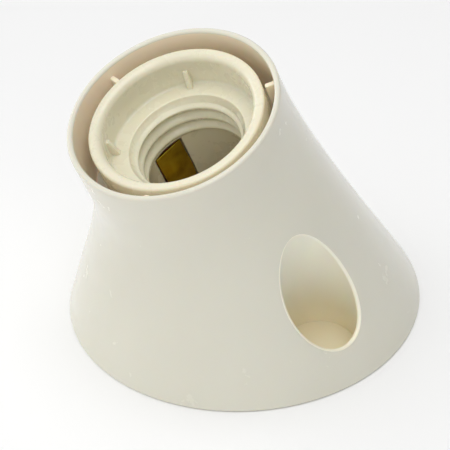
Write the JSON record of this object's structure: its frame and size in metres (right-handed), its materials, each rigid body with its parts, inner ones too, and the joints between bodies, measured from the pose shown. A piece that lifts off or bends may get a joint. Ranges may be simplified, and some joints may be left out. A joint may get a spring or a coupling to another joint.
{
  "type": "angled batten lampholder",
  "caption": "Angled screw-thread lampholder: flared round base, tilted collar, threaded insert, sprung contacts and screw terminals.",
  "frame": {"origin": "centre of the base circle, on the face that goes against the wall or ceiling", "axes": "+Z out of the mounting surface, the lamp axis leans 20.5 degrees from +Z towards -Y, a screw well on each side along X"},
  "size_m": [0.09, 0.09, 0.0749],
  "materials": {
    "cream_plastic": "glossy moulded cream plastic",
    "cream_insert": "smooth moulded cream plastic, slightly warmer than the shell",
    "tan_moulding": "matt heat-resisting moulding",
    "contact_brass": "dull darkened spring brass",
    "terminal_brass": "plain pressed brass",
    "plated_steel": "bright zinc-plated steel"
  },
  "bodies": {
    "fixture": {"outer_shell": "cream_plastic", "thread_barrel": "cream_insert", "contact_block": "tan_moulding", "centre_contact_rivet": "terminal_brass", "side_contact_rivet": "terminal_brass", "loop_plate_rivet": "terminal_brass", "live_plate": "terminal_brass", "neutral_plate": "terminal_brass", "loop_plate": "terminal_brass", "barrel_screw_left": "plated_steel", "barrel_screw_right": "plated_steel", "block_screw_front": "plated_steel", "block_screw_rear": "plated_steel"},
    "centre_leaf": {"centre_contact": "contact_brass"},
    "side_leaf": {"side_contact": "contact_brass"},
    "live_clamp": {"live_clamp_washer": "plated_steel"},
    "live_fastener": {"live_screw": "plated_steel"},
    "neutral_clamp": {"neutral_clamp_washer": "plated_steel"},
    "neutral_fastener": {"neutral_screw": "plated_steel"},
    "loop_clamp": {"loop_clamp_washer": "plated_steel"},
    "loop_fastener": {"loop_screw": "plated_steel"}
  },
  "joints": [
    {"name": "centre_leaf_press", "type": "hinge", "parent": "fixture", "child": "centre_leaf", "pos_m": [0.00748, -0.00687, 0.02938], "axis": [-0.0698, -0.9344, -0.3494], "range_deg": [0, 8], "stiffness_Nm_per_rad": 0.15},
    {"name": "side_leaf_press", "type": "hinge", "parent": "fixture", "child": "side_leaf", "pos_m": [-0.01322, -0.00443, 0.02698], "axis": [-0.0698, -0.9344, -0.3494], "range_deg": [0, 3], "stiffness_Nm_per_rad": 0.3},
    {"name": "live_clamp_slide", "type": "slide", "parent": "fixture", "child": "live_clamp", "axis": [0, 0.3502, -0.9367], "range_m": [0, 0.0024]},
    {"name": "live_screw_turn", "type": "hinge", "parent": "live_clamp", "child": "live_fastener", "pos_m": [0.00961, 0.00593, 0.0205], "axis": [0, 0.3502, -0.9367], "range_deg": [0, 1440]},
    {"name": "neutral_clamp_slide", "type": "slide", "parent": "fixture", "child": "neutral_clamp", "axis": [0, 0.3502, -0.9367], "range_m": [0, 0.0024]},
    {"name": "neutral_screw_turn", "type": "hinge", "parent": "neutral_clamp", "child": "neutral_fastener", "pos_m": [-0.00911, -0.00975, 0.01464], "axis": [0, 0.3502, -0.9367], "range_deg": [0, 1440]},
    {"name": "loop_clamp_slide", "type": "slide", "parent": "fixture", "child": "loop_clamp", "axis": [0, 0.3502, -0.9367], "range_m": [0, 0.0024]},
    {"name": "loop_screw_turn", "type": "hinge", "parent": "loop_clamp", "child": "loop_fastener", "pos_m": [0.00835, -0.01089, 0.01421], "axis": [0, 0.3502, -0.9367], "range_deg": [0, 1440]}
  ],
  "couplings": [
    {"joint": "live_screw_turn", "follows": "live_clamp_slide", "rad_per_m": 10472},
    {"joint": "neutral_screw_turn", "follows": "neutral_clamp_slide", "rad_per_m": 10472},
    {"joint": "loop_screw_turn", "follows": "loop_clamp_slide", "rad_per_m": 10472}
  ]
}
